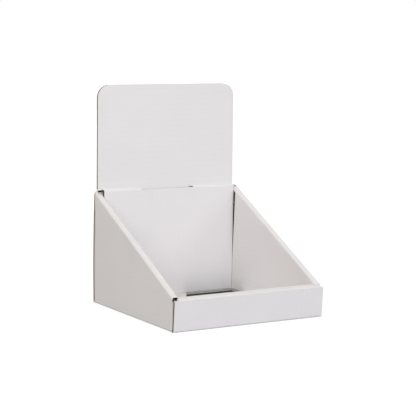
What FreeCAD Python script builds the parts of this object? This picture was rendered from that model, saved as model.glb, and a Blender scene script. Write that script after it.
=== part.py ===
import FreeCAD, Part
import os
from math import atan, cos, radians, sin, sqrt, tan

# Counter display stand of folded corrugated board. An open tray is folded from one die-cut
# sheet: every wall rolls over at its top, comes back down inside and locks in the base.
# A separate header card stands behind the goods, its tab pushed into a slot in the back wall.
# X runs across the front, +Y runs to the back, +Z is up, and z = 0 is the counter.

Vector = FreeCAD.Vector

# Board, in millimetres
board = 3.0                 # thickness of the corrugated board
layer_gap = 0.3             # air between two layers that lie on each other
fold_outside = 2.4          # radius on the outside of a fold
fold_inside = 0.5           # radius on the inside of a fold

# Tray
width = 200.0               # over the two side walls
depth = 194.0               # over the front and back walls, at the counter
back_height = 136.0
front_height = 36.5         # at the outer fold of the front wall
side_front_height = 37.2    # the side walls' sloping top, carried on to the front plane
side_back_height = 135.2    # the same at the back plane
side_wall = 8.4             # over both layers of a side wall
front_lean = 3.7            # degrees that the outer front panel leans outwards
front_rise = 2.4            # the front wall's inner fold stands this much above its outer fold
panel_clearance = 0.3       # each end of an inner front or back panel to the side wall
front_roll_clearance = 5.5  # each end of the front wall's outer top fold to the tray's side
back_ear_drop = 1.2         # the ends of the outer back panel stop this far below the fold
back_ear_corner = 3.5       # radius of their free top corners
front_ear_drop = 0.5        # the same on the outer front panel
front_ear_corner = 1.0
roof_setback = 1.0          # the rolled top stops this far behind the front corner flap's face
foot_clearance = 0.4        # the same ends, above the counter

# Corner flaps, folded from the side walls into the front and back walls
flap_length = 52.0
flap_headroom = 22.0        # flap's top below the side wall's sloping top
flap_taper = 6.0            # how much lower the flap is at its free end

# Rear edge of the inner side panels, cut back towards the top
taper_start = 40.0
taper_depth = 4.0

# Lock tabs of the inner panels, and the slots for them in the base
lock_length = 34.0
lock_recess = 0.3           # a tab's end above the counter
lock_clearance = 0.3
side_lock_places = (-50.0, 20.0)
front_lock_places = (-45.0, 45.0)
back_lock_places = (0.0,)

# The two windows in the base, in front of the back wall
window_start = 25.0         # from the middle to the window's near end, at the back
window_length = 28.0
window_gap = 0.2            # from its back end to the inner back panel's face
window_angle = 30.0         # of its near end
window_corner = 3.0

# Header card
header_width = 189.6
header_height = 126.0       # above the back wall
header_corner = 15.5
shoulder_corner = 0.8
header_shift = -3.15        # the card and its slot stand off centre
tab_width = 67.3
tab_depth = 42.0
tab_corner = 5.0
slot_play = (0.35, 5.35)    # left and right of the tab
slot_lip_drop = 1.4         # the slot cuts the inner fold away down to here

# Worked out from the sizes above
half_width = width / 2
half_depth = depth / 2
end_wall_thickness = 3 * board + 2 * layer_gap
inner_face = half_depth - end_wall_thickness
flap_face = half_depth - board - layer_gap
roof_back = flap_face - board - layer_gap
side_inner = half_width - side_wall
inner_half = side_inner - panel_clearance
panel_foot = board + layer_gap
slope = atan((side_back_height - side_front_height) / depth)
roof_drop = board / cos(slope)
slot_length = tab_width + sum(slot_play)
slot_ends = (header_shift - slot_length / 2, header_shift + slot_length / 2)
reach = 2 * (width + depth + back_height)


def side_top(y):
    """Height of the side walls' sloping top at y."""
    return side_front_height + tan(slope) * (y + half_depth)


def corner_arc(before, corner, after, radius):
    """Start, middle and end of the arc that rounds a corner."""
    into = (before - corner).normalize()
    out = (after - corner).normalize()
    half_angle = into.getAngle(out) / 2
    setback = radius / tan(half_angle)
    bisector = (into + out).normalize()
    centre = corner + bisector * (radius / sin(half_angle))
    return corner + into * setback, centre - bisector * radius, corner + out * setback


def rounded_face(corners, place):
    """A flat face with corners (a, b, radius), where place(a, b) is a corner's point in space."""
    points = [place(a, b) for a, b, radius in corners]
    spans = []
    for index, (a, b, radius) in enumerate(corners):
        here = points[index]
        after = points[(index + 1) % len(points)]
        if radius > 0:
            spans.append(corner_arc(points[index - 1], here, after, radius))
        else:
            spans.append((here, None, here))
    edges = []
    for index, (enter, middle, leave) in enumerate(spans):
        if middle is not None:
            edges.append(Part.Arc(enter, middle, leave).toShape())
        next_enter = spans[(index + 1) % len(spans)][0]
        edges.append(Part.LineSegment(leave, next_enter).toShape())
    return Part.Face(Part.Wire(edges))


def direction(start, end):
    """Unit direction from one point to another, in a plane."""
    length = sqrt((end[0] - start[0]) ** 2 + (end[1] - start[1]) ** 2)
    return (end[0] - start[0]) / length, (end[1] - start[1]) / length


def to_left(point, along, distance):
    """A point moved to the left of a direction."""
    return point[0] - along[1] * distance, point[1] + along[0] * distance


def crossing(point_one, along_one, point_two, along_two):
    """Where two lines cross."""
    gap = (point_two[0] - point_one[0], point_two[1] - point_one[1])
    turn = along_one[0] * along_two[1] - along_one[1] * along_two[0]
    step = (gap[0] * along_two[1] - gap[1] * along_two[0]) / turn
    return point_one[0] + along_one[0] * step, point_one[1] + along_one[1] * step


def board_section(path):
    """Corners of a section of board that is bent along a path, with rounded folds.

    The path is the sheet's outer face, and the board lies to its left.
    """
    runs = [direction(path[i], path[i + 1]) for i in range(len(path) - 1)]
    starts = [to_left(path[i], runs[i], board) for i in range(len(runs))]
    outer = [(a, b, fold_outside) for a, b in path[1:-1]]
    inner = []
    for i in range(len(runs) - 1):
        a, b = crossing(starts[i], runs[i], starts[i + 1], runs[i + 1])
        inner.append((a, b, fold_inside))
    last = to_left(path[-1], runs[-1], board)
    return [(*path[0], 0), *outer, (*path[-1], 0), (*last, 0), *inner[::-1], (*starts[0], 0)]


def block(low, high):
    """A box from its lowest to its highest corner."""
    return Part.makeBox(*[high[i] - low[i] for i in range(3)], Vector(*low))


def along_x(corners, low_x, high_x):
    """A section in (y, z) drawn out along X."""
    face = rounded_face(corners, lambda y, z: Vector(low_x, y, z))
    return face.extrude(Vector(high_x - low_x, 0, 0))


def flat_corners(points):
    """Corners of an outline with no rounding."""
    return [(a, b, 0) for a, b in points]


def joined(shapes):
    """One shape from shapes that overlap or share faces."""
    return shapes[0].fuse(shapes[1:]).removeSplitter()


def both_sides(shape):
    """A shape and its mirror image on the other side of the tray's middle."""
    return [shape, shape.mirror(Vector(0, 0, 0), Vector(1, 0, 0))]


def ear_outline(ear_top, ear_corner):
    """The outline, seen from the front, that trims the end of an outer panel."""
    corners = [(0, foot_clearance, 0), (half_width, foot_clearance, 0),
               (half_width, ear_top, ear_corner), (0, ear_top, 0)]
    face = rounded_face(corners, lambda x, z: Vector(x, -depth, z))
    return face.extrude(Vector(0, depth, 0))


def end_wall(path, ear_top, ear_corner, roll_half):
    """A front or back wall, lying towards -Y, from its section path in (y, z).

    The path runs from the foot of the inner panel over the top and down into the base.
    The outer panel is as wide as the tray. The rest stands between the side walls.
    """
    roll = along_x(board_section(path), -roll_half, roll_half)
    beside = block((inner_half, -flap_face - layer_gap, board), (width, 0, reach))
    roll = roll.cut(both_sides(beside))
    fold_half = half_width - board - layer_gap
    foot = along_x(board_section(path[2:]), -fold_half, fold_half)
    ear = along_x(board_section(path[2:4]), fold_half, half_width)
    ear = ear.common(ear_outline(ear_top, ear_corner))
    lower = joined([foot, *both_sides(ear)])
    lower = lower.cut(block((-width, -depth, ear_top), (width, depth, reach)))
    return [roll, lower]


def front_wall():
    """The low front wall. Its outer panel leans out and its inner panel stands upright."""
    path = [
        (-inner_face, panel_foot),
        (-inner_face, front_height + front_rise),
        (-half_depth - tan(radians(front_lean)) * front_height, front_height),
        (-half_depth, 0),
        (-inner_face + board, 0),
    ]
    ear_top = front_height - front_ear_drop
    return end_wall(path, ear_top, front_ear_corner, half_width - front_roll_clearance)


def back_wall():
    """The high back wall, with the header's slot in its rolled top."""
    path = [
        (-inner_face, panel_foot),
        (-inner_face, back_height),
        (-half_depth, back_height),
        (-half_depth, 0),
        (-inner_face + board, 0),
    ]
    left, right = slot_ends
    under_roll = back_height - board - fold_inside
    slot = [block((left, -half_depth + board, under_roll), (right, -inner_face - board, reach)),
            block((left, -inner_face - board, back_height - slot_lip_drop), (right, 0, reach))]
    walls = end_wall(path, back_height - back_ear_drop, back_ear_corner, inner_half)
    return [wall.cut(slot).mirror(Vector(0, 0, 0), Vector(0, 1, 0)) for wall in walls]


def sloping_channel():
    """A side wall's rolled top with long legs, drawn out along the slope."""
    path = [
        (half_width, -reach),
        (half_width, 0),
        (side_inner, 0),
        (side_inner, -reach),
    ]

    def place(x, rise):
        y = -depth - rise * sin(slope)
        z = side_top(-depth) + rise * cos(slope)
        return Vector(x, y, z)

    face = rounded_face(board_section(path), place)
    return face.extrude(Vector(0, cos(slope), sin(slope)) * reach)


def inner_panel_surplus():
    """What is cut from a side wall's inner leg at its front and rear ends and its foot."""
    front_edge = -roof_back
    rear_top = inner_face - taper_depth
    front = [(-depth, 0), (front_edge, 0), (front_edge, side_top(front_edge) - roof_drop),
             (-depth, side_top(-depth) - roof_drop)]
    rear = [(inner_face, 0), (depth, 0), (depth, side_top(depth) - roof_drop),
            (rear_top, side_top(rear_top) - roof_drop), (inner_face, taper_start)]
    low_x = side_inner - board
    high_x = side_inner + board + fold_inside
    foot = block((low_x, -depth, -reach), (high_x, depth, panel_foot))
    return [foot] + [along_x(flat_corners(outline), low_x, high_x) for outline in (front, rear)]


def corner_flap(side):
    """The flap that folds from a side wall into the front (-1) or back (+1) wall."""
    arm = fold_outside + fold_inside + 1
    path = [
        (half_width, flap_face - arm),
        (half_width, flap_face),
        (half_width - flap_length, flap_face),
    ]
    face = rounded_face(board_section(path), lambda x, y: Vector(x, y, panel_foot))
    flap = face.extrude(Vector(0, 0, back_height))
    if side < 0:
        flap = flap.mirror(Vector(0, 0, 0), Vector(0, 1, 0))
    top = side_top(side * flap_face) - flap_headroom
    free_x = half_width - flap_length
    above = [(half_width + board, top), (half_width - board, top), (free_x, top - flap_taper),
             (free_x - board, top - flap_taper), (free_x - board, reach),
             (half_width + board, reach)]
    face = rounded_face(flat_corners(above), lambda x, z: Vector(x, -depth, z))
    return flap.cut(face.extrude(Vector(0, 2 * depth, 0))), top


def side_wall_shapes():
    """The right side wall with its foot and corner flaps."""
    channel = sloping_channel().common(
        block((0, -flap_face, 0), (width, flap_face, reach)))
    behind_roof = block((0, roof_back, -reach), (half_width - board, depth, reach))
    roof_front = -flap_face + roof_setback
    before_roof = block((0, -depth, side_top(-flap_face) - roof_drop), (width, roof_front, reach))
    channel = channel.cut([behind_roof, before_roof, *inner_panel_surplus()])
    fold_zone = block((half_width - 2 * board, -depth, -reach), (width, depth, 2 * board))
    channel = channel.cut(fold_zone)
    path = [
        (inner_half - board, 0),
        (half_width, 0),
        (half_width, 2 * board),
    ]
    face = rounded_face(board_section(path), lambda x, z: Vector(x, -flap_face, z))
    wall = joined([channel, face.extrude(Vector(0, 2 * flap_face, 0))])
    flaps = []
    for side in (-1, 1):
        flap, top = corner_flap(side)
        ends = sorted((side * (flap_face - fold_outside - fold_inside), side * depth))
        wall = wall.cut(block((half_width - board, ends[0], panel_foot), (width, ends[1], top)))
        flaps.append(flap)
    return [wall, *flaps]


def base_plate():
    """The flat middle of the base, up to the feet of the walls."""
    reach_x = inner_half - board
    reach_y = inner_face - board
    return block((-reach_x, -reach_y, 0), (reach_x, reach_y, board))


def lock_tabs():
    """Lowest and highest corner of every lock tab, down to the base's slots."""
    half = lock_length / 2
    top = panel_foot + board
    tabs = []
    for x in front_lock_places:
        tabs.append(((x - half, -inner_face - board, lock_recess), (x + half, -inner_face, top)))
    for x in back_lock_places:
        tabs.append(((x - half, inner_face, lock_recess), (x + half, inner_face + board, top)))
    for y in side_lock_places:
        for low_x in (side_inner, -side_inner - board):
            tabs.append(((low_x, y - half, lock_recess), (low_x + board, y + half, top)))
    return tabs


def lock_slot(low, high):
    """The slot in the base around a lock tab."""
    low_corner = (low[0] - lock_clearance, low[1] - lock_clearance, -board)
    high_corner = (high[0] + lock_clearance, high[1] + lock_clearance, board + layer_gap / 2)
    return block(low_corner, high_corner)


def base_window():
    """The right one of the two windows in the base."""
    back = inner_face - window_gap
    front = back - window_length
    near_front = window_start - tan(radians(window_angle)) * window_length
    corners = [(window_start, back, 0), (near_front, front, window_corner),
               (inner_half, front, window_corner), (inner_half, back, 0)]
    face = rounded_face(corners, lambda x, y: Vector(x, y, -board))
    return face.extrude(Vector(0, 0, 2 * board + layer_gap / 2))


def folded_tray():
    """The tray as one sheet of board."""
    sides = []
    for shape in side_wall_shapes():
        sides += both_sides(shape)
    tray = joined([base_plate(), *front_wall(), *back_wall(), *sides])
    tabs = lock_tabs()
    openings = [lock_slot(low, high) for low, high in tabs] + both_sides(base_window())
    tray = tray.cut(openings)
    return joined([tray, *[block(low, high) for low, high in tabs]])


def header_card():
    """The header card, upright in the slot with its shoulders on the rolled top."""
    left = header_shift - header_width / 2
    right = left + header_width
    tab_left = slot_ends[0] + slot_play[0]
    tab_right = slot_ends[1] - slot_play[1]
    top = back_height + header_height
    tab_end = back_height - tab_depth
    corners = [
        (left, back_height, shoulder_corner), (tab_left, back_height, 0),
        (tab_left, tab_end, tab_corner), (tab_right, tab_end, tab_corner),
        (tab_right, back_height, 0), (right, back_height, shoulder_corner),
        (right, top, header_corner), (left, top, header_corner),
    ]
    face = rounded_face(corners, lambda x, z: Vector(x, flap_face - board, z))
    return face.extrude(Vector(0, board, 0))


def main():
    """Write both pieces, with the origin in the middle of the stand's footprint box."""
    tray = folded_tray()
    box = tray.optimalBoundingBox(False, False)
    to_middle = Vector(-box.Center.x, -box.Center.y, 0)
    pieces = {"folded_tray": tray, "header_card": header_card()}
    os.makedirs("parts", exist_ok=True)
    for name, shape in pieces.items():
        shape.translate(to_middle)
        solid = shape.Solids[0] if len(shape.Solids) == 1 else shape
        solid.exportStep(os.path.join("parts", name + ".step"))
        print(name, len(shape.Solids), shape.isValid(), round(shape.Volume), shape.BoundBox)


main()
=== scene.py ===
import math

import bmesh
import bpy
import numpy as np
from mathutils import Matrix, Vector, noise


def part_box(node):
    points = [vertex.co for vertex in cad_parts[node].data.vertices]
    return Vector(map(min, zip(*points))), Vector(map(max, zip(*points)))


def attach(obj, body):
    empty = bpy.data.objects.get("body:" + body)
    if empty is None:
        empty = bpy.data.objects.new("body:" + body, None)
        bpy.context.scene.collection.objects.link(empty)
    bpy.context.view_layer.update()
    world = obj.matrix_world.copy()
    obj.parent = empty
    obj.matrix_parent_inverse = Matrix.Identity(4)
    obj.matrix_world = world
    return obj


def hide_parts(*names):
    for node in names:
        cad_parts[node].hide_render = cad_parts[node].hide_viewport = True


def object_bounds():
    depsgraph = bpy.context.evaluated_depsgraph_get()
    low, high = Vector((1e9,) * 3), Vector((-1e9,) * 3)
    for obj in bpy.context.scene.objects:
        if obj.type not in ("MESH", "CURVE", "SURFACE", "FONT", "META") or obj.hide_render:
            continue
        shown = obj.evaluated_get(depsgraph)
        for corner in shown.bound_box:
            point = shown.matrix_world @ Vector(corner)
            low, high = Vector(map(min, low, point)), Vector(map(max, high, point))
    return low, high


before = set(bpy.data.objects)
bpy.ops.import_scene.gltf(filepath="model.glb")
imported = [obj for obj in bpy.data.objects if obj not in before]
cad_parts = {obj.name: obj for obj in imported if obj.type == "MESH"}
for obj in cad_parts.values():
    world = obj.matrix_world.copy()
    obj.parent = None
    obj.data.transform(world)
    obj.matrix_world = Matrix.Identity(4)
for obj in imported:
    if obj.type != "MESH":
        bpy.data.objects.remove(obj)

# A counter display stand of folded white corrugated board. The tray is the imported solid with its
# cut edges opened to the fluting, and the header card is two liners on a fluted middle.
# The order below: sizes, materials, cut edges, tray, header card, studio.

cad_low, cad_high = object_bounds()
tray_low, tray_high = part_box("folded_tray")
card_low, card_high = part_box("header_card")
mm = 0.001

# Board
board = 3.0 * mm
liner = 0.36 * mm
medium = 0.24 * mm              # thickness of the fluted paper
flute_pitch = 6.4 * mm
flute_steps = 12                # spans in one wave of the fluted paper
edge_depth = 4.5 * mm           # how deep the board is hollow behind a cut edge
open_depth = 7.0 * mm           # the same at the ends of the side walls' rolled tops
flute_recess = 1.4 * mm         # the first flute's wall behind an edge cut along the flutes
layer_gap = 0.3 * mm

# Tray, from the same sizes as its solid
side_wall = 8.4 * mm
half_width = tray_high.x
inner_half = half_width - side_wall - 0.3 * mm
back_face = tray_high.y
front_depth = 194.0 * mm
front_face = back_face - front_depth
end_wall = 3 * board + 2 * layer_gap
back_inner = back_face - end_wall
front_inner = front_face + end_wall
back_height = tray_high.z
front_height = 36.5 * mm
side_front_height = 37.2 * mm    # the side walls' sloping top, carried on to the front plane
side_back_height = 135.2 * mm
side_slope = (side_back_height - side_front_height) / front_depth
roof_setback = 1.0 * mm
roof_front = front_face + board + layer_gap + roof_setback
roof_back = back_face - 2 * (board + layer_gap)
front_lean = math.radians(3.7)
back_ear_drop = 1.2 * mm
back_ear_corner = 3.5 * mm
front_ear_drop = 0.5 * mm
front_ear_corner = 1.0 * mm
panel_foot = board + layer_gap
taper_start = 40.0 * mm
taper_depth = 4.0 * mm
taper_end = 125.0 * mm
slot_middle = -3.15 * mm
slot_half = 36.5 * mm
slot_lip_drop = 1.4 * mm
roll_end_length = 24.0 * mm     # how far down the rolled top's open end reaches; its hollow is painted dark as shade
window_start = 25.0 * mm
window_gap = 0.2 * mm
window_length = 28.0 * mm
window_angle = math.radians(30)
lock_half = 17.0 * mm
lock_recess = 0.3 * mm

# How the real folds and the card stand out of true
back_slant = 0.0105             # the back wall's top, lower towards the right
card_top_slant = 0.006
card_top_drop = 0.6 * mm
card_lean = 1.8 * mm            # the card's top, backwards

# Light
world_colour = (1.0, 0.915, 0.8)
world_strength = 0.55
floor_colour = (0.45, 0.46, 0.48)
# painted shade: the floor under the stand, seen only through the base's windows, is coloured dark
floor_shade_painted_beneath = (0.05, 0.05, 0.05)
floor_lift = (0.68, 0.88)       # near the stand and far from it
lift_reach = (0.35, 2.2)        # metres from the middle
lamps = [                       # name, place, size, watts, colour
    ("front_box", (0.0, -2.4, 1.4), 1.4, 15.6, (0.8, 0.866, 1.0)),
    ("low_box", (0.0, -2.4, 0.35), 1.4, 5.2, (0.94, 0.94, 1.0)),
    ("right_box", (2.0, -1.5, 1.4), 1.4, 13.6, (0.8, 0.873, 1.0)),
    ("left_box", (-2.0, -1.5, 1.4), 1.4, 23.2, (0.96, 0.97, 0.975)),
    ("rear_box", (0.0, 2.6, 0.9), 1.4, 13.0, (0.85, 0.93, 1.0)),
]

# Camera, as it stood for the photograph
camera_place = (-0.9801, -1.6057, 0.3875)
camera_azimuth = math.radians(-31.41)
camera_elevation = math.radians(8.04)
camera_roll = math.radians(1.04)
camera_lens = 139.7

# Header card
card_corner = 15.5 * mm
card_shoulder = 0.8 * mm
tab_middle = -5.65 * mm
tab_width = 67.3 * mm
tab_corner = 5.0 * mm


def new_object(name, bm, materials):
    """A mesh object from a bmesh, with its materials."""
    mesh = bpy.data.meshes.new(name)
    bm.to_mesh(mesh)
    bm.free()
    made = bpy.data.objects.new(name, mesh)
    bpy.context.scene.collection.objects.link(made)
    for material in materials:
        mesh.materials.append(material)
    return made


def smooth_folds(piece, angle=math.radians(28)):
    """Smooth shading on folds, flat shading on panels and cut edges."""
    mesh = piece.data
    mesh.shade_smooth()
    mesh.set_sharp_from_angle(angle=angle)
    weighted = piece.modifiers.new("even_panels", "WEIGHTED_NORMAL")
    weighted.keep_sharp = True


class Nodes:
    """Short calls for building a material's node tree."""

    def __init__(self, name):
        self.material = bpy.data.materials.new(name)
        self.material.use_nodes = True
        self.tree = self.material.node_tree
        self.shader = self.tree.nodes["Principled BSDF"]
        self.place = self.add("ShaderNodeTexCoord").outputs["Object"]

    def add(self, kind, **settings):
        node = self.tree.nodes.new(kind)
        for key, value in settings.items():
            setattr(node, key, value)
        return node

    def link(self, output, target):
        self.tree.links.new(output, target)

    def noise(self, scale, detail=2.0, roughness=0.5, stretch=(1, 1, 1)):
        """Noise at so many features a metre, squeezed along the axes by stretch."""
        mapping = self.add("ShaderNodeMapping")
        mapping.inputs["Scale"].default_value = stretch
        self.link(self.place, mapping.inputs["Vector"])
        texture = self.add("ShaderNodeTexNoise")
        texture.inputs["Scale"].default_value = scale
        texture.inputs["Detail"].default_value = detail
        texture.inputs["Roughness"].default_value = roughness
        self.link(mapping.outputs["Vector"], texture.inputs["Vector"])
        return texture.outputs["Fac"]

    def waves(self, axis, pitch, wander):
        """Soft parallel ridges a pitch apart along an axis, a little uneven."""
        texture = self.add("ShaderNodeTexWave", wave_type="BANDS", bands_direction=axis)
        texture.inputs["Scale"].default_value = math.pi / 10 / pitch
        texture.inputs["Distortion"].default_value = wander
        texture.inputs["Detail"].default_value = 1.0
        texture.inputs["Detail Scale"].default_value = 0.4
        self.link(self.place, texture.inputs["Vector"])
        return texture.outputs["Fac"]

    def spread(self, value, low, high):
        """A value of 0 to 1 spread from low to high."""
        node = self.add("ShaderNodeMapRange")
        node.inputs["To Min"].default_value = low
        node.inputs["To Max"].default_value = high
        self.link(value, node.inputs["Value"])
        return node.outputs["Result"]

    def blend(self, value, low, high):
        """A colour between two, by a value of 0 to 1."""
        node = self.add("ShaderNodeMix", data_type="RGBA")
        node.inputs[6].default_value = (*low, 1)
        node.inputs[7].default_value = (*high, 1)
        self.link(value, node.inputs[0])
        return node.outputs[2]

    def combine(self, operation, one, two):
        """Two values in a math node, each another node's output or a number."""
        node = self.add("ShaderNodeMath", operation=operation)
        for value, target in zip((one, two), node.inputs):
            if isinstance(value, float):
                target.default_value = value
            else:
                self.link(value, target)
        return node.outputs[0]

    def sum(self, one, two, share=0.5):
        """One value and a share of another, added."""
        node = self.add("ShaderNodeMath", operation="MULTIPLY_ADD")
        node.inputs[1].default_value = share
        self.link(two, node.inputs[0])
        self.link(one, node.inputs[2])
        return node.outputs[0]

    def bump(self, height, depth, strength=1.0, under=None):
        """A bump of so many metres, on top of another bump."""
        node = self.add("ShaderNodeBump")
        node.inputs["Distance"].default_value = depth
        node.inputs["Strength"].default_value = strength
        self.link(height, node.inputs["Height"])
        if under is not None:
            self.link(under, node.inputs["Normal"])
        return node.outputs["Normal"]


def linear(red, green, blue):
    """A colour of 0 to 255 on screen, as the renderer counts it."""
    return tuple((v / 255 / 12.92) if v <= 10.3 else ((v / 255 + 0.055) / 1.055) ** 2.4
                 for v in (red, green, blue))


def white_liner(name, flute_axis):
    """Matt white coated liner. The fluting shows through as faint ridges a pitch apart: a bump, and a
    faint painted shade of the ridges in the colour.
    """
    n = Nodes(name)
    ridges = n.waves(flute_axis, flute_pitch, 0.5)
    clouds = n.noise(22, 3)
    fibres = n.noise(900, 4, 0.65)
    # the ridges' small share of the colour is painted shade; the washboard bump below is their relief
    tone = n.sum(n.sum(clouds, fibres, 0.35), ridges, 0.12)
    colour = n.blend(n.spread(tone, -0.1, 1.0), linear(229, 227, 228), linear(235, 233, 234))
    n.link(colour, n.shader.inputs["Base Color"])
    n.link(n.spread(fibres, 0.5, 0.72), n.shader.inputs["Roughness"])
    n.shader.inputs["Specular IOR Level"].default_value = 0.3
    washboard = n.bump(ridges, 0.02 * mm)
    waviness = n.bump(clouds, 0.3 * mm, under=washboard)
    grain = n.bump(fibres, 0.02 * mm, under=waviness)
    n.link(grain, n.shader.inputs["Normal"])
    return n.material


def kraft_paper(name, dark, light):
    """Brown-grey paper of the fluting and of the liners' cut edges; also a dark copy used as painted
    shade.
    """
    n = Nodes(name)
    fibres = n.noise(1500, 4, 0.7, stretch=(1, 1, 2.5))
    patches = n.noise(160, 2)
    tone = n.sum(n.spread(patches, 0.0, 0.6), fibres, 0.5)
    n.link(n.blend(tone, dark, light), n.shader.inputs["Base Color"])
    n.link(n.spread(fibres, 0.75, 0.95), n.shader.inputs["Roughness"])
    n.shader.inputs["Specular IOR Level"].default_value = 0.2
    n.link(n.bump(fibres, 0.06 * mm), n.shader.inputs["Normal"])
    return n.material


WHITE_ENDS = white_liner("white_liner_ends", "X")
WHITE_SIDES = white_liner("white_liner_sides", "Z")
LINER_EDGE = kraft_paper("liner_edge", linear(168, 164, 158), linear(206, 203, 199))
FLUTING = kraft_paper("fluting", linear(128, 110, 95), linear(172, 152, 133))
# painted light: the tray's fluting paper, made lighter for the header card where more light falls on
# it
CARD_FLUTING_PAINTED_LIGHTER = kraft_paper("card_fluting", linear(146, 136, 126), linear(190, 180, 169))
# painted shade: a dark copy of the fluting paper, for the faces between a wall's layers and inside
# the open ends
PAINTED_SHADE_PAPER = kraft_paper("painted_shade_fluting", linear(52, 44, 40), linear(76, 66, 60))
MATERIALS = [WHITE_ENDS, WHITE_SIDES, LINER_EDGE, FLUTING, PAINTED_SHADE_PAPER]
ENDS, SIDES, EDGE, FLUTE, PAINTED_SHADE = range(5)


class CutEdge:
    """One straight cut edge: its middle line, the way it faces and the way across the board."""

    def __init__(self, start, end, faces, across, crosses_flutes):
        self.start = Vector(start)
        self.end = Vector(end)
        self.faces = Vector(faces).normalized()
        self.across = Vector(across).normalized()
        self.crosses_flutes = crosses_flutes
        self.half = board / 2 - liner
        self.depth = edge_depth
        self.reach = 0.25 * mm
        self.rise = 0.0
        self.along = (self.end - self.start).normalized()
        self.length = (self.end - self.start).length

    def opened(self, half, depth, reach=0.25 * mm, rise=0.0):
        """Sets the hollow's half width, its depth, how far it starts outside, and its rise.

        The rise is how far it climbs across itself for each length inwards.
        """
        self.half = half
        self.depth = depth
        self.reach = reach
        self.rise = rise
        return self

    def point(self, along, across, out):
        """A point at distances along the edge, across the board and out of the cut face."""
        return (self.start + self.along * along + self.across * (across - out * self.rise)
                + self.faces * out)

    def holds(self, centre, normal):
        """Whether a face of the mesh lies on this cut edge."""
        gap = centre - self.start
        return (normal.dot(self.faces) > 0.97 and abs(gap.dot(self.faces)) < 0.06 * mm
                and abs(gap.dot(self.across)) < board / 2 + 0.05 * mm
                and -0.5 * mm < gap.dot(self.along) < self.length + 0.5 * mm)


def both_sides(edges):
    """Cut edges and their mirror images."""
    made = list(edges)
    for e in edges:
        flip = Vector((-1, 1, 1))
        made.append(CutEdge(e.start * flip, e.end * flip, e.faces * flip, e.across * flip,
                            e.crosses_flutes))
    return made


def end_panel_edges():
    """The upright cut edges of the front and back walls, and the ends of their rolled tops."""
    x = half_width
    ear_top = back_height - back_ear_drop
    back_mid = back_face - board / 2
    lean = Vector((0, -math.sin(front_lean), math.cos(front_lean)))
    front_foot = Vector((x, front_face + board / 2 / math.cos(front_lean), 0))
    front_end = front_foot + lean * (front_height - front_ear_drop - front_ear_corner)
    level = Vector((0, math.cos(front_lean), math.sin(front_lean)))
    edges = [
        CutEdge((x, back_mid, 0.4 * mm), (x, back_mid, ear_top - back_ear_corner),
                (1, 0, 0), (0, 1, 0), False),
        CutEdge(front_foot + lean * 0.6 * mm, front_end, (1, 0, 0), level, False),
    ]
    for inner, turn, top in ((back_inner, 1, back_height - roll_end_length),
                             (front_inner, -1, front_height - 0.8 * mm)):
        mid = inner + turn * board / 2
        edges.append(CutEdge((inner_half, mid, panel_foot), (inner_half, mid, top),
                             (1, 0, 0), (0, 1, 0), False))
    return both_sides(edges)


def side_panel_edges():
    """The rear edges of the inner side panels, upright and then cut back."""
    x = half_width - side_wall + board / 2
    corner = (x, back_inner, taper_start)
    rear_top = (x, back_inner - taper_depth, taper_end)
    run = Vector(rear_top) - Vector(corner)
    groove_top = Vector(corner) + run * 0.94
    return both_sides([
        CutEdge((x, back_inner, panel_foot), corner, (0, 1, 0), (1, 0, 0), True),
        CutEdge(corner, groove_top, run.cross(Vector((1, 0, 0))), (1, 0, 0), True),
    ])


def roof_ends():
    """The open ends of the side walls' rolled tops: both rear ends and the left front end. Their
    hollows get the painted-shade paper.
    """
    inset = 1.4 * mm
    up = (0, 0, 1)
    ends = []
    top = side_front_height + side_slope * (roof_back - front_face)
    for x in (half_width - side_wall + inset, inset - half_width):
        rear = CutEdge((x, roof_back, top - 1.45 * mm),
                       (x + side_wall - 2 * inset, roof_back, top - 1.45 * mm), (0, 1, 0), up, True)
        ends.append(rear.opened(1.0 * mm, open_depth, rise=-side_slope))
    top = side_front_height + side_slope * (roof_front - front_face)
    for inset, drop, half, reach in ((1.4 * mm, 1.45 * mm, 1.0 * mm, 0.25 * mm),
                                     (0.5 * mm, 3.8 * mm, 1.6 * mm, 1.3 * mm)):
        front = CutEdge((inset - half_width, roof_front, top - drop),
                        (side_wall - half_width - inset, roof_front, top - drop), (0, -1, 0), up,
                        True)
        ends.append(front.opened(half, open_depth, reach, side_slope))
    return ends


def torn_corner():
    """The top of the back wall's left corner, torn open towards the tray. Its hollow gets the
    painted-shade paper.
    """
    mid = back_face - board / 2 - 0.5 * mm
    top = back_height - back_ear_drop
    ear = CutEdge((back_ear_corner - half_width, mid, top), (-inner_half, mid, top), (0, 0, 1),
                  (0, 1, 0), True)
    return ear.opened(1.4 * mm, 2.2 * mm)


def roll_end():
    """The left end of the back wall's rolled top: up, round the fold and back. Its hollow gets the
    painted-shade paper.
    """
    panel_mid = back_inner + board / 2
    top_mid = back_height - board / 2
    edges = []
    for start, end, across in (
            ((panel_mid, back_height - roll_end_length), (panel_mid, back_height - 2.4 * mm),
             (0, 1, 0)),
            ((back_inner + 1.5 * mm, back_height - 2.6 * mm),
             (back_inner + 2.6 * mm, back_height - 1.5 * mm), (0, -1, 1)),
            ((back_inner + 2.4 * mm, top_mid), (back_face - 3.2 * mm, top_mid), (0, 0, 1))):
        edges.append(CutEdge((-inner_half, *start), (-inner_half, *end), (-1, 0, 0), across, False))
    return edges


def between_layers(centre, normal):
    """Whether a face of the mesh lies hidden between a side or back wall's two layers. Such white
    faces get the painted-shade paper.
    """
    outer_leg = abs(abs(centre.x) - half_width + board) < 0.05 * mm and normal.x * centre.x < 0
    flap = abs(centre.y - back_face + 2 * board + layer_gap) < 0.05 * mm and abs(centre.x) > 0.03
    return (outer_leg and abs(normal.x) > 0.97) or (flap and normal.y < -0.97)


def slot_edges():
    """The lip of the header's slot, in front of the card's tab."""
    lip = back_height - slot_lip_drop
    mid = back_inner + board / 2
    return [CutEdge((slot_middle - slot_half, mid, lip), (slot_middle + slot_half, mid, lip),
                    (0, 0, 1), (0, 1, 0), True)]


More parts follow.
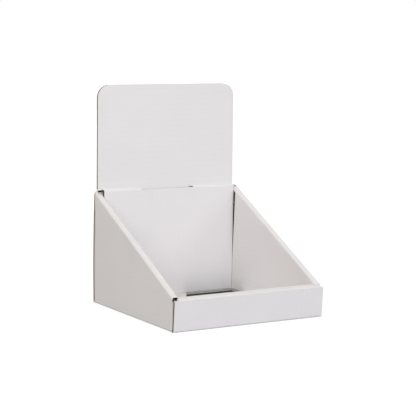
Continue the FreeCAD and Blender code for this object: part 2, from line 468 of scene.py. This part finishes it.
def window_edges():
    """The cut edges round the base's two windows."""
    back = back_inner - window_gap
    front = back - window_length
    near_front = window_start - math.tan(window_angle) * window_length
    mid = board / 2
    room = 2.5 * mm
    up = (0, 0, 1)
    slant = Vector((window_start - near_front, back - front, 0)).normalized()
    near = Vector((near_front, front, mid))
    return both_sides([
        CutEdge((window_start, back, mid), (inner_half, back, mid), (0, -1, 0), up, True),
        CutEdge((near_front + room, front, mid), (inner_half - room, front, mid), (0, 1, 0), up,
                True),
        CutEdge((inner_half, front + room, mid), (inner_half, back, mid), (-1, 0, 0), up, False),
        CutEdge(near + slant * room, (window_start, back, mid), (slant.y, -slant.x, 0), up,
                False),
    ])


def lock_tab_edges():
    """The ends of the lock tabs, seen from below."""
    side_mid = half_width - side_wall + board / 2
    middle_y = (front_face + back_face) / 2
    edges = []
    for x in (-45 * mm, 45 * mm):
        edges.append(CutEdge((x - lock_half, front_inner - board / 2, lock_recess),
                             (x + lock_half, front_inner - board / 2, lock_recess),
                             (0, 0, -1), (0, 1, 0), True))
    edges.append(CutEdge((-lock_half, back_inner + board / 2, lock_recess),
                         (lock_half, back_inner + board / 2, lock_recess),
                         (0, 0, -1), (0, 1, 0), True))
    for y in (middle_y - 50 * mm, middle_y + 20 * mm):
        for x in (-side_mid, side_mid):
            edges.append(CutEdge((x, y - lock_half, lock_recess), (x, y + lock_half, lock_recess),
                                 (0, 0, -1), (1, 0, 0), False))
    return edges


def groove(bm, edge):
    """The hollow between the liners behind a cut edge, as a box to take away."""
    half = edge.half
    corners = [edge.point(a, c, o) for o in (-edge.depth, edge.reach)
               for a, c in ((0.02 * mm, -half), (edge.length - 0.02 * mm, -half),
                            (edge.length - 0.02 * mm, half), (0.02 * mm, half))]
    v = [bm.verts.new(corner) for corner in corners]
    for face in ((0, 1, 2, 3), (4, 5, 6, 7), (0, 1, 5, 4), (1, 2, 6, 5), (2, 3, 7, 6), (3, 0, 4, 7)):
        bm.faces.new([v[i] for i in face])


def ribbon(bm, line, thickness_way, depth_way, depth):
    """A strip of paper along a line of points, as thick as the fluting."""
    rows = []
    for point, thick in zip(line, thickness_way):
        off = thick * medium / 2
        rows.append([bm.verts.new(point + off), bm.verts.new(point - off),
                     bm.verts.new(point - off - depth_way * depth),
                     bm.verts.new(point + off - depth_way * depth)])
    for one, two in zip(rows, rows[1:]):
        for i in range(4):
            j = (i + 1) % 4
            face = bm.faces.new((one[i], one[j], two[j], two[i]))
            face.smooth = i % 2 == 0
    bm.faces.new(rows[0])
    bm.faces.new(rows[-1])


def edge_fluting(bm, edge, seed):
    """The fluted paper behind a cut edge: a wave where it is cut across, a wall where it isn't."""
    height = board / 2 - liner - medium / 2
    recess = 0.12 * mm if edge.crosses_flutes else flute_recess
    if edge.crosses_flutes:
        count = max(2, int(edge.length / flute_pitch * flute_steps))
    else:
        count = max(2, int(edge.length / (3 * mm)))
    line = []
    thick = []
    for i in range(count + 1):
        along = 0.05 * mm + (edge.length - 0.1 * mm) * i / count
        if edge.crosses_flutes:
            turn = 2 * math.pi * along / flute_pitch + seed
            across = height * math.sin(turn)
            slope = height * math.cos(turn) * 2 * math.pi / flute_pitch
        else:
            across = height * 0.9 * math.sin(along / (47 * mm) + seed * 2.1)
            slope = 0
        normal = (edge.across - edge.along * slope).normalized()
        line.append(edge.point(along, across, -recess))
        thick.append(normal)
    ribbon(bm, line, thick, edge.faces, edge.depth - recess - 0.1 * mm)


def grid_cut(bm, step, low, high):
    """Cuts every face along evenly spaced planes, so that large panels can bend a little."""
    for axis in range(3):
        normal = Vector((0, 0, 0))
        normal[axis] = 1
        count = int((high[axis] - low[axis]) / step)
        for i in range(1, count):
            place = Vector((0, 0, 0))
            place[axis] = low[axis] + (high[axis] - low[axis]) * i / count
            geometry = bm.verts[:] + bm.edges[:] + bm.faces[:]
            bmesh.ops.bisect_plane(bm, geom=geometry, plane_co=place, plane_no=normal, dist=1e-6)


def card_bend(p):
    """The card leans back a little, and stands on the slanting top of the back wall."""
    up = min(1, max(0, (p.z - back_height) / (card_high.z - back_height)))
    slant = back_slant + (card_top_slant - back_slant) * up
    return Vector((0, card_lean * up, -slant * p.x - card_top_drop * up))


def tray_bend(p):
    """How far the folded board really stands from its true planes."""
    move = Vector((0, 0, 0))
    up = p.z / back_height
    wander = noise.noise(p * 14 + Vector((3.1, 0, 0)))
    if abs(p.x) > inner_half + 0.5 * mm and p.y < back_face - board:
        run = (p.y - front_face) / front_depth
        belly = math.sin(math.pi * min(1, max(0, run))) * math.sin(math.pi * min(1, up * 1.2))
        move.x -= math.copysign(0.5 * mm, p.x) * (belly * 0.8 + wander * 0.4 * up)
    elif p.y > back_inner - 0.5 * mm:
        edge = max(0.0, -p.x / half_width) ** 4
        move.x += 0.9 * mm * edge * (2 * up - 1) ** 2
        move.y -= 0.5 * mm * (wander * 0.5 + 0.5) * up * (1 - (p.x / half_width) ** 2)
        move.z -= back_slant * min(inner_half, max(-inner_half, p.x)) * up ** 2
    elif p.y < front_inner + 0.5 * mm:
        move.y += 0.35 * mm * wander * up
        move.z += 0.25 * mm * noise.noise(p * 25) * min(1, p.z / front_height)
    return move


def bent(piece, bend):
    """Moves a piece's points by a bend, and keeps them inside the model's own box."""
    mesh = piece.data
    for vertex in mesh.vertices:
        moved = vertex.co + bend(vertex.co)
        vertex.co = [min(max(moved[i], cad_low[i]), cad_high[i]) for i in range(3)]
    mesh.update()


def paper_of(polygon, edges):
    """Which of the tray's materials a face of its mesh gets."""
    if between_layers(polygon.center, polygon.normal):
        # painted shade: the white faces between the layers are coloured dark
        return PAINTED_SHADE
    if any(edge.holds(polygon.center, polygon.normal) for edge in edges):
        return EDGE
    return SIDES if abs(polygon.normal.x) > 0.6 else ENDS


def grooved(tray, edges, ends):
    """Takes the hollows behind the cut edges and the open ends out of the tray. The open ends'
    hollows are painted dark as shade.
    """
    bm = bmesh.new()
    for edge in edges + ends:
        groove(bm, edge)
    bmesh.ops.recalc_face_normals(bm, faces=bm.faces[:])
    cutter = new_object("grooves", bm, MATERIALS)
    for polygon in cutter.data.polygons:
        # painted shade: the grooves of the open ends get the dark paper, the cut edges' grooves the
        # fluting
        polygon.material_index = FLUTE if polygon.index < 6 * len(edges) else PAINTED_SHADE
    cut = tray.modifiers.new("grooves", "BOOLEAN")
    cut.operation = "DIFFERENCE"
    cut.solver = "EXACT"
    cut.use_self = True
    cut.object = cutter
    applied(tray)
    bpy.data.objects.remove(cutter)


def tray_piece(edges, ends, crushed):
    """The tray's own mesh, hollowed between the liners at its clean cut edges.

    Crushed edges are cut paper too, but closed.
    """
    bm = bmesh.new()
    bm.from_mesh(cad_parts["folded_tray"].data)
    bmesh.ops.remove_doubles(bm, verts=bm.verts[:], dist=0.001 * mm)
    bmesh.ops.recalc_face_normals(bm, faces=bm.faces[:])
    tray = new_object("tray_board", bm, MATERIALS)
    for polygon in tray.data.polygons:
        polygon.material_index = paper_of(polygon, edges + ends + crushed)
    grooved(tray, edges, ends)
    bm = bmesh.new()
    bm.from_mesh(tray.data)
    grid_cut(bm, 10 * mm, tray_low, tray_high)
    bm.to_mesh(tray.data)
    bm.free()
    return tray


def applied(piece):
    """Puts a piece's modifiers into its mesh."""
    depsgraph = bpy.context.evaluated_depsgraph_get()
    mesh = bpy.data.meshes.new_from_object(piece.evaluated_get(depsgraph))
    piece.modifiers.clear()
    piece.data = mesh


def fluting_piece(edges):
    """The fluted paper that shows behind the tray's cut edges."""
    bm = bmesh.new()
    for number, edge in enumerate(edges):
        edge_fluting(bm, edge, number * 1.7)
    bmesh.ops.recalc_face_normals(bm, faces=bm.faces[:])
    return new_object("tray_fluting", bm, [FLUTING])


def card_outline(arc_steps=14):
    """Points round the header card, in (x, z)."""
    shoulder = back_height
    tab = (tab_middle - tab_width / 2, tab_middle + tab_width / 2)
    corners = [
        (card_low.x, shoulder, card_shoulder), (tab[0], shoulder, 0),
        (tab[0], card_low.z, tab_corner), (tab[1], card_low.z, tab_corner),
        (tab[1], shoulder, 0), (card_high.x, shoulder, card_shoulder),
        (card_high.x, card_high.z, card_corner), (card_low.x, card_high.z, card_corner),
    ]
    points = []
    for i, (x, z, radius) in enumerate(corners):
        if radius == 0:
            points.append((x, z))
            continue
        before = Vector((corners[i - 1][0] - x, corners[i - 1][1] - z)).normalized()
        nxt = corners[(i + 1) % len(corners)]
        after = Vector((nxt[0] - x, nxt[1] - z)).normalized()
        centre = Vector((x, z)) + (before + after) * radius
        for k in range(arc_steps + 1):
            turn = math.pi / 2 * k / arc_steps
            spot = centre - after * radius * math.cos(turn) - before * radius * math.sin(turn)
            points.append((spot.x, spot.y))
    return points


def card_span(outline, z):
    """The card's left and right edge at a height, from its outline."""
    crossings = []
    for (x0, z0), (x1, z1) in zip(outline, outline[1:] + outline[:1]):
        if (z0 - z) * (z1 - z) < 0:
            crossings.append(x0 + (x1 - x0) * (z - z0) / (z1 - z0))
    return min(crossings), max(crossings)


def card_liner(outline, near, far):
    """One liner of the header card, from its outer face to its inner face."""
    bm = bmesh.new()
    rows = [[bm.verts.new((x, y, z)) for x, z in outline] for y in (near, far)]
    front = bm.faces.new(rows[0])
    back = bm.faces.new(rows[1])
    for i in range(len(outline)):
        j = (i + 1) % len(outline)
        side = bm.faces.new((rows[0][i], rows[0][j], rows[1][j], rows[1][i]))
        side.material_index = EDGE
    front.material_index = SIDES
    back.material_index = FLUTE
    bmesh.ops.recalc_face_normals(bm, faces=bm.faces[:])
    bmesh.ops.triangulate(bm, faces=[front, back])
    return bm


def card_fluting(outline):
    """The header card's fluted paper, its waves running from side to side."""
    bm = bmesh.new()
    mid = (card_low.y + card_high.y) / 2
    height = board / 2 - liner - medium / 2
    inset = 0.08 * mm
    low, high = card_low.z + inset, card_high.z - inset
    count = int((high - low) / flute_pitch * flute_steps)
    rows = []
    for i in range(count + 1):
        z = low + (high - low) * i / count
        turn = 2 * math.pi * z / flute_pitch
        y = mid + height * math.sin(turn)
        slope = height * math.cos(turn) * 2 * math.pi / flute_pitch
        off = Vector((0, 1, -slope)).normalized() * medium / 2
        left, right = card_span(outline, z)
        left += inset
        right -= inset
        near, far = Vector((left, y, z)), Vector((right, y, z))
        rows.append([bm.verts.new(point) for point in (near - off, far - off, far + off, near + off)])
    for one, two in zip(rows, rows[1:]):
        for i in range(4):
            j = (i + 1) % 4
            face = bm.faces.new((one[i], one[j], two[j], two[i]))
            face.smooth = i % 2 == 0
    bm.faces.new(rows[0])
    bm.faces.new(rows[-1])
    bmesh.ops.recalc_face_normals(bm, faces=bm.faces[:])
    # painted light: this fluting is a lighter copy of the tray's paper
    return new_object("card_fluting", bm, [CARD_FLUTING_PAINTED_LIGHTER])


def header_pieces():
    """The header card as two liners and the fluted paper between them."""
    outline = card_outline()
    made = []
    for name, near, far in (("card_front_liner", card_low.y, card_low.y + liner),
                            ("card_back_liner", card_high.y, card_high.y - liner)):
        bm = card_liner(outline, near, far)
        grid_cut(bm, 12 * mm, card_low, card_high)
        made.append(new_object(name, bm, MATERIALS))
    made.append(card_fluting(outline))
    return made


def camera():
    """The camera where the photograph was taken from."""
    back = Vector((math.sin(camera_azimuth) * math.cos(camera_elevation),
                   -math.cos(camera_azimuth) * math.cos(camera_elevation),
                   math.sin(camera_elevation)))
    right = Vector((math.cos(camera_azimuth), math.sin(camera_azimuth), 0))
    up = back.cross(right)
    right, up = (right * math.cos(camera_roll) + up * math.sin(camera_roll),
                 up * math.cos(camera_roll) - right * math.sin(camera_roll))
    data = bpy.data.cameras.new("camera")
    data.lens = camera_lens
    data.sensor_width = 36.0
    made = bpy.data.objects.new("camera", data)
    turn = Matrix((right, up, back)).transposed().to_4x4()
    made.matrix_world = Matrix.Translation(camera_place) @ turn
    bpy.context.scene.collection.objects.link(made)
    bpy.context.scene.camera = made


def lamp(name, place, target, size, watts, colour):
    """A square soft box that faces a point."""
    data = bpy.data.lights.new(name, "AREA")
    data.shape = "SQUARE"
    data.size = size
    data.energy = watts
    data.color = colour
    made = bpy.data.objects.new(name, data)
    made.location = place
    made.rotation_euler = (Vector(target) - Vector(place)).to_track_quat("-Z", "Y").to_euler()
    bpy.context.scene.collection.objects.link(made)


def whiter_for_camera(tree):
    """White light, and the factor that is 1 for the camera and for mirror-like rays only."""
    path = tree.nodes.new("ShaderNodeLightPath")
    seen = path.outputs["Is Camera Ray"]
    for kind in ("Is Glossy Ray", "Is Transmission Ray"):
        either = tree.nodes.new("ShaderNodeMath")
        either.operation = "MAXIMUM"
        tree.links.new(seen, either.inputs[0])
        tree.links.new(path.outputs[kind], either.inputs[1])
        seen = either.outputs[0]
    return seen, tree.nodes.new("ShaderNodeEmission")


def studio_world():
    """Even, slightly warm light from all round, which the camera sees as white."""
    world = bpy.data.worlds.new("studio")
    bpy.context.scene.world = world
    world.use_nodes = True
    tree = world.node_tree
    light = tree.nodes["Background"]
    light.inputs["Color"].default_value = (*world_colour, 1)
    light.inputs["Strength"].default_value = world_strength
    seen, white = whiter_for_camera(tree)
    mix = tree.nodes.new("ShaderNodeMixShader")
    tree.links.new(seen, mix.inputs[0])
    tree.links.new(light.outputs[0], mix.inputs[1])
    tree.links.new(white.outputs[0], mix.inputs[2])
    tree.links.new(mix.outputs[0], tree.nodes["World Output"].inputs["Surface"])


def beside_stand(n):
    """1 on the floor beside the stand, and 0 under it, where the floor is painted dark as shade."""
    size = n.add("ShaderNodeVectorMath", operation="ABSOLUTE")
    n.link(n.place, size.inputs[0])
    parts = n.add("ShaderNodeSeparateXYZ")
    n.link(size.outputs[0], parts.inputs[0])
    away = n.combine("MAXIMUM", parts.outputs["X"], parts.outputs["Y"])
    return n.combine("GREATER_THAN", away, inner_half)


def lift_with_distance(n):
    """How much white the camera sees added to the floor, from near the stand to far from it."""
    distance = n.add("ShaderNodeVectorMath", operation="LENGTH")
    n.link(n.place, distance.inputs[0])
    lift = n.add("ShaderNodeMapRange", interpolation_type="SMOOTHSTEP")
    for name, value in zip(("From Min", "From Max", "To Min", "To Max"), lift_reach + floor_lift):
        lift.inputs[name].default_value = value
    n.link(distance.outputs["Value"], lift.inputs["Value"])
    return lift.outputs["Result"]


def floor_paper():
    """Pale backdrop paper. Round the stand the camera sees it as white with a soft shadow; under the
    stand it is painted dark as shade.
    """
    n = Nodes("backdrop_paper")
    n.shader.inputs["Roughness"].default_value = 0.9
    n.shader.inputs["Specular IOR Level"].default_value = 0.1
    beside = beside_stand(n)
    # painted shade under the stand, the floor's own colour beside it
    n.link(n.blend(beside, floor_shade_painted_beneath, floor_colour), n.shader.inputs["Base Color"])
    seen, white = whiter_for_camera(n.tree)
    shown = n.combine("MULTIPLY", beside, seen)
    n.link(n.combine("MULTIPLY", shown, lift_with_distance(n)), white.inputs["Strength"])
    total = n.add("ShaderNodeAddShader")
    n.link(n.shader.outputs[0], total.inputs[0])
    n.link(white.outputs[0], total.inputs[1])
    n.link(total.outputs[0], n.tree.nodes["Material Output"].inputs["Surface"])
    return n.material


def studio():
    """Even light from all round, soft boxes, and a pale floor."""
    studio_world()
    for name, place, size, watts, colour in lamps:
        lamp(name, place, (0, 0, 0.1), size, watts, colour)
    bm = bmesh.new()
    bmesh.ops.create_grid(bm, x_segments=1, y_segments=1, size=6)
    floor = new_object("floor", bm, [floor_paper()])


def main():
    edges = end_panel_edges() + side_panel_edges() + lock_tab_edges()
    ends = [*roof_ends(), torn_corner(), *roll_end()]
    tray = tray_piece(edges, ends, slot_edges() + window_edges())
    tray_flutes = fluting_piece(edges)
    card = header_pieces()
    for piece in (tray, tray_flutes):
        bent(piece, tray_bend)
    for piece in card:
        bent(piece, card_bend)
    smooth_folds(tray)
    for piece in card[:2]:
        smooth_folds(piece)
    for piece in (tray, tray_flutes, *card):
        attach(piece, "root")
    for piece in (tray, tray_flutes):
        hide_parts("folded_tray")
    for piece in card:
        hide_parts("header_card")
    studio()
    camera()
    bpy.context.scene.view_settings.view_transform = "Standard"


main()
